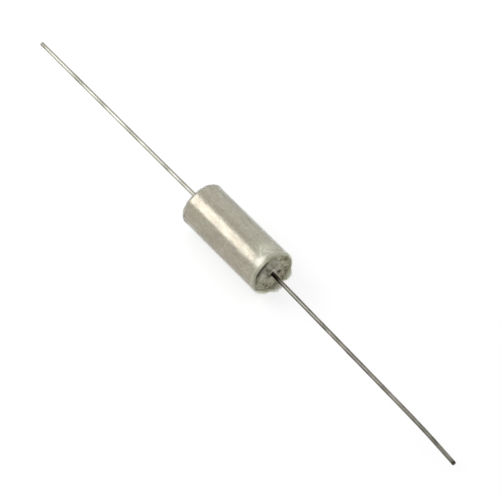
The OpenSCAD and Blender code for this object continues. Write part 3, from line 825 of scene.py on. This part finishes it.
def positiveLeadSkin():
    # A round bar carried along a line that is straight, bends, runs straight, bends again and ends
    # straight. The line is walked in fine steps, each along its heading
    (rootRadius, rootTurn), (tipRadius, tipTurn) = lead["rootBend"], lead["tipBend"]
    spans = [lead["bendX"] - lead["startX"], rootRadius * math.radians(rootTurn), lead["shank"],
             tipRadius * math.radians(tipTurn), lead["tip"]]
    ends = np.concatenate([[0], np.cumsum(spans)])
    full = ends[-1]
    headings = np.radians([0, 0, rootTurn, rootTurn, rootTurn + tipTurn, rootTurn + tipTurn])
    fine = np.linspace(0, full, lead["walkSteps"])
    heading = np.interp(fine, ends, headings)
    step = np.diff(fine)
    mid = (heading[1:] + heading[:-1]) / 2
    alongX = lead["startX"] + np.concatenate([[0], np.cumsum(np.cos(mid) * step)])
    downZ = -np.concatenate([[0], np.cumsum(np.sin(mid) * step)])
    cut = lead["chamfer"]
    stations = np.concatenate([[0], np.linspace(0, full - cut, lead["rings"]), [full, full]])
    r = np.full(len(stations), lead["radius"])
    r[0] *= lead["pole"]
    r[-2] -= cut
    r[-1] *= lead["pole"]
    angle = turns(lead["around"])
    stations, r = stations[:, None], r[:, None]
    turn, cx, cz = (np.interp(stations, fine, way) for way in (heading, alongX, downZ))
    lift = -r * np.cos(angle)                  # square to the line, in the plane of the bends
    # Burnt flux and painted shade by the seal, painted shade on the cut tip, painted highlights along the wire
    nearSeal = np.clip((lead["fluxAndShadeEnd"] - cx) / lead["fluxReach"], 0, 1)
    oneSide = lead["fluxAndShadeMore"] + lead["fluxAndShadeGain"] * np.cos(angle - math.radians(lead["fluxAndShadeAt"]))
    fluxAndShade = nearSeal ** lead["fluxAndShadeFade"] * np.clip(oneSide, 0, 1)
    atTip = np.clip((stations - full + lead["tipShadeFrom"]) / lead["tipShadeRise"], 0, 1)
    fluxAndShade = np.maximum(fluxAndShade, lead["tipShade"] * atTip)
    wireStreak = streakAt(angle, lead["wireStreakAt"]) * (lead["wireStreakLeast"] + waves(cx, lead["wireStreakWaves"]))
    wireStreak = wireStreak + lead["rootHighlight"] * streakAt(angle, lead["rootHighlightAt"]) * nearSeal
    return ringPiece("positiveLead", cx + lift * np.sin(turn), r * np.sin(angle) + 0 * cx,
                     cz + lift * np.cos(turn), False,
                     {"fluxAndShade": fluxAndShade, "wireStreak": np.clip(wireStreak, 0, 1)}, sharp=40)


nail = {
    "length": 41.45,
    "headRadius": 0.6, "head": 0.2, "edge": 0.05, "neck": 0.04,
    "aside": 0.15,       # off the can's axis, toward +Y
    # The darker line along this wire lies this many degrees round
    "wireStreakAt": 170,
    "step": 0.25,
}


def negativeLeadSkin():
    # A headed wire turned round the axis: cut tip, long shank, and the flat head against the can
    end, r, cut = can["halfLength"], lead["radius"], lead["chamfer"]
    wide, neckX, tipX = nail["headRadius"], -end - nail["head"], -end - nail["length"]
    line = softened([(tipX, poleRadius), (tipX, r - cut), (tipX + cut, r), (neckX, r, nail["neck"]),
                     (neckX, wide, nail["edge"]), (-end, wide, nail["edge"]), (-end, poleRadius)],
                    nail["step"])
    angle = turns(lead["around"])
    x, y, z = roundTheAxis(line[:, :1], line[:, 1:], angle)
    return ringPiece("negativeLead", x, y + nail["aside"], z, False,
                     {"wireStreak": streakAt(angle, nail["wireStreakAt"]) + 0 * x}, sharp=40)


mound = {
    "foot": 2.0, "bore": 0.3375, "edge": 0.03, "height": 1.1,
    "room": 0.02,        # left round the nail head
    "around": 160, "rings": 40,
    "lumps": [(2.2, 0.05, 21), (0.8, 0.02, 22)],
}


def nailSolderSkin():
    # Solder over the nail head: a hollow arc that runs out level on the can and rises to the wire, with
    # lumps
    angle = turns(mound["around"])
    foot, bore, edge, height = (mound[key] for key in ("foot", "bore", "edge", "height"))
    reach, climb = foot - bore - edge, height - edge
    bend = (reach ** 2 + climb ** 2) / (2 * climb)
    out = np.linspace(0, reach, mound["rings"])[:, None]     # from the foot inwards
    rise = edge + bend - np.sqrt(bend ** 2 - out ** 2)
    r = foot - out
    _, y, z = roundTheAxis(0, r, angle)
    rise = rise + np.sin(np.pi * out / reach) ** 2 * lumps(y, z, mound["lumps"])
    overHead, headDeep = nail["headRadius"] + mound["room"], nail["head"] + mound["room"]
    under = [(0, foot), (0, overHead), (headDeep, overHead), (headDeep, bore), (height, bore)]
    deeps = np.concatenate([rise[::-1]] + [np.full(angle.shape, deep) for deep, _ in under])
    r = np.concatenate([r[::-1] + 0 * angle] + [np.full(angle.shape, wide) for _, wide in under])
    x, y, z = roundTheAxis(-can["halfLength"] - deeps, r, angle)
    return ringPiece("nailSolder", x, y + nail["aside"], z, True, sharp=40)


settle(positiveLeadSkin(), "positive_lead", finishes["shadedWire"])
settle(negativeLeadSkin(), "negative_lead", finishes["tinnedWire"])
settle(nailSolderSkin(), "negative_lead_solder", finishes["brightSolder"])
print("leads made")

innerFinishes = {
    "seal_ring": "sealMetal", "lead_weld": "weldMetal", "anode_wire": "tantalumWire",
    "spacer_washer": "whitePlastic", "anode_pellet": "sinteredTantalum",
    "manganese_dioxide_coat": "manganeseDioxide", "graphite_coat": "graphitePaint",
    "silver_coat": "silverPaint", "cathode_solder": "dullSolder",
}
for nodeName, finishName in innerFinishes.items():
    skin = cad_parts[nodeName].data
    skin.materials.clear()
    skin.materials.append(finishes[finishName])
print("inner pieces finished:", len(innerFinishes))

studio = {
    "floorZ": -3.705,
    "floorSize": 1600,
    "floorGrain": 0.02, "floorTones": [(0.3, (0.93, 0.93, 0.93)), (0.7, (0.945, 0.945, 0.945))],
    "whiteShare": 0.72,   # how much of the floor's look is plain white, the rest takes the shadow
    "skyLevel": 0.9,
    # Softboxes: the way they stand, millimetres away and along the can, their size, and how bright they look
    "lamps": {
        "keySoftbox": {"away": (-0.53, -0.51, 0.677), "distance": 150, "slide": -30, "size": (120, 98),
                       "level": 3.65},
        "fillSoftbox": {"away": (-0.50, 0.68, 0.56), "distance": 300, "slide": 0, "size": (500, 300),
                        "level": 0.4},
    },
}


def layFloor():
    # One flat square under the can, white to the eye and in mirrors, and plain matt where a shadow falls on
    # it
    half = studio["floorSize"] / 2
    mesh = bpy.data.meshes.new("studioFloor")
    mesh.from_pydata([(sx * half * mm, sy * half * mm, studio["floorZ"] * mm)
                      for sx, sy in ((-1, -1), (1, -1), (1, 1), (-1, 1))], [], [(0, 1, 2, 3)])
    material = bpy.data.materials.new("paleFloor")
    material.use_nodes = True
    tree = material.node_tree
    matt = tree.nodes["Principled BSDF"]
    grain = rampOf(tree, noiseAt(tree, studio["floorGrain"], even, 3.0), studio["floorTones"])
    tree.links.new(grain, matt.inputs["Base Color"])
    matt.inputs["Roughness"].default_value = 0.9
    matt.inputs["Specular IOR Level"].default_value = 0.1
    glow = addNode(tree, "ShaderNodeEmission")
    glow.inputs["Strength"].default_value = 1.0
    path = addNode(tree, "ShaderNodeLightPath")
    seen = path.outputs["Is Camera Ray"]
    for other in ("Is Glossy Ray", "Is Transmission Ray"):
        most = addNode(tree, "ShaderNodeMath", operation="MAXIMUM")
        tree.links.new(seen, most.inputs[0])
        tree.links.new(path.outputs[other], most.inputs[1])
        seen = most.outputs[0]
    share = addNode(tree, "ShaderNodeMath", operation="MULTIPLY")
    tree.links.new(seen, share.inputs[0])
    share.inputs[1].default_value = studio["whiteShare"]
    both = addNode(tree, "ShaderNodeMixShader")
    tree.links.new(share.outputs[0], both.inputs[0])
    tree.links.new(matt.outputs[0], both.inputs[1])
    tree.links.new(glow.outputs[0], both.inputs[2])
    tree.links.new(both.outputs[0], tree.nodes["Material Output"].inputs["Surface"])
    mesh.materials.append(material)
    floor = bpy.data.objects.new("studioFloor", mesh)
    bpy.context.scene.collection.objects.link(floor)


def skyLight():
    world = bpy.data.worlds.new("studioSky")
    world.use_nodes = True
    sky = world.node_tree.nodes["Background"]
    sky.inputs["Color"].default_value = (1, 1, 1, 1)
    sky.inputs["Strength"].default_value = studio["skyLevel"]
    bpy.context.scene.world = world


def softbox(name, box):
    # A flat lamp that faces the can, its long side along it. Its power is level times pi times its area, so
    # level is how bright it looks
    width, height = box["size"]
    lamp = bpy.data.lights.new(name, "AREA")
    lamp.shape = "RECTANGLE"
    lamp.size, lamp.size_y = width * mm, height * mm
    lamp.energy = box["level"] * math.pi * width * height * mm * mm
    holder = bpy.data.objects.new(name, lamp)
    away = Vector(box["away"]).normalized()
    side = (Vector((1, 0, 0)) - away * away.x).normalized()
    turn = Matrix((side, away.cross(side), away)).transposed().to_4x4()
    holder.matrix_world = Matrix.Translation((away * box["distance"] + side * box["slide"]) * mm) @ turn
    holder.visible_camera = False
    bpy.context.scene.collection.objects.link(holder)


view = {"direction": (0.5300, -0.3995, 0.7480), "distance": 480, "frameWidth": 72.15, "right": 1.905,
        "down": 1.688, "sensor": 36.0}


def placeCamera():
    # Looks down past the sealed end, level with the horizon, a little off the middle of the can
    away = Vector(view["direction"]).normalized()
    right = Vector((0, 0, 1)).cross(away).normalized()
    up = away.cross(right)
    lens = bpy.data.cameras.new("studioCamera")
    lens.sensor_width = view["sensor"]
    lens.lens = view["sensor"] * view["distance"] / view["frameWidth"]
    lens.clip_start, lens.clip_end = 0.01, 10       # metres
    camera = bpy.data.objects.new("studioCamera", lens)
    spot = right * view["right"] - up * view["down"] + away * view["distance"]
    camera.matrix_world = Matrix.Translation(spot * mm) @ Matrix((right, up, away)).transposed().to_4x4()
    bpy.context.scene.collection.objects.link(camera)
    bpy.context.scene.camera = camera


layFloor()
skyLight()
for name, box in studio["lamps"].items():
    softbox(name, box)
placeCamera()
bpy.context.scene.view_settings.view_transform = "Standard"
print("floor, light and camera placed")
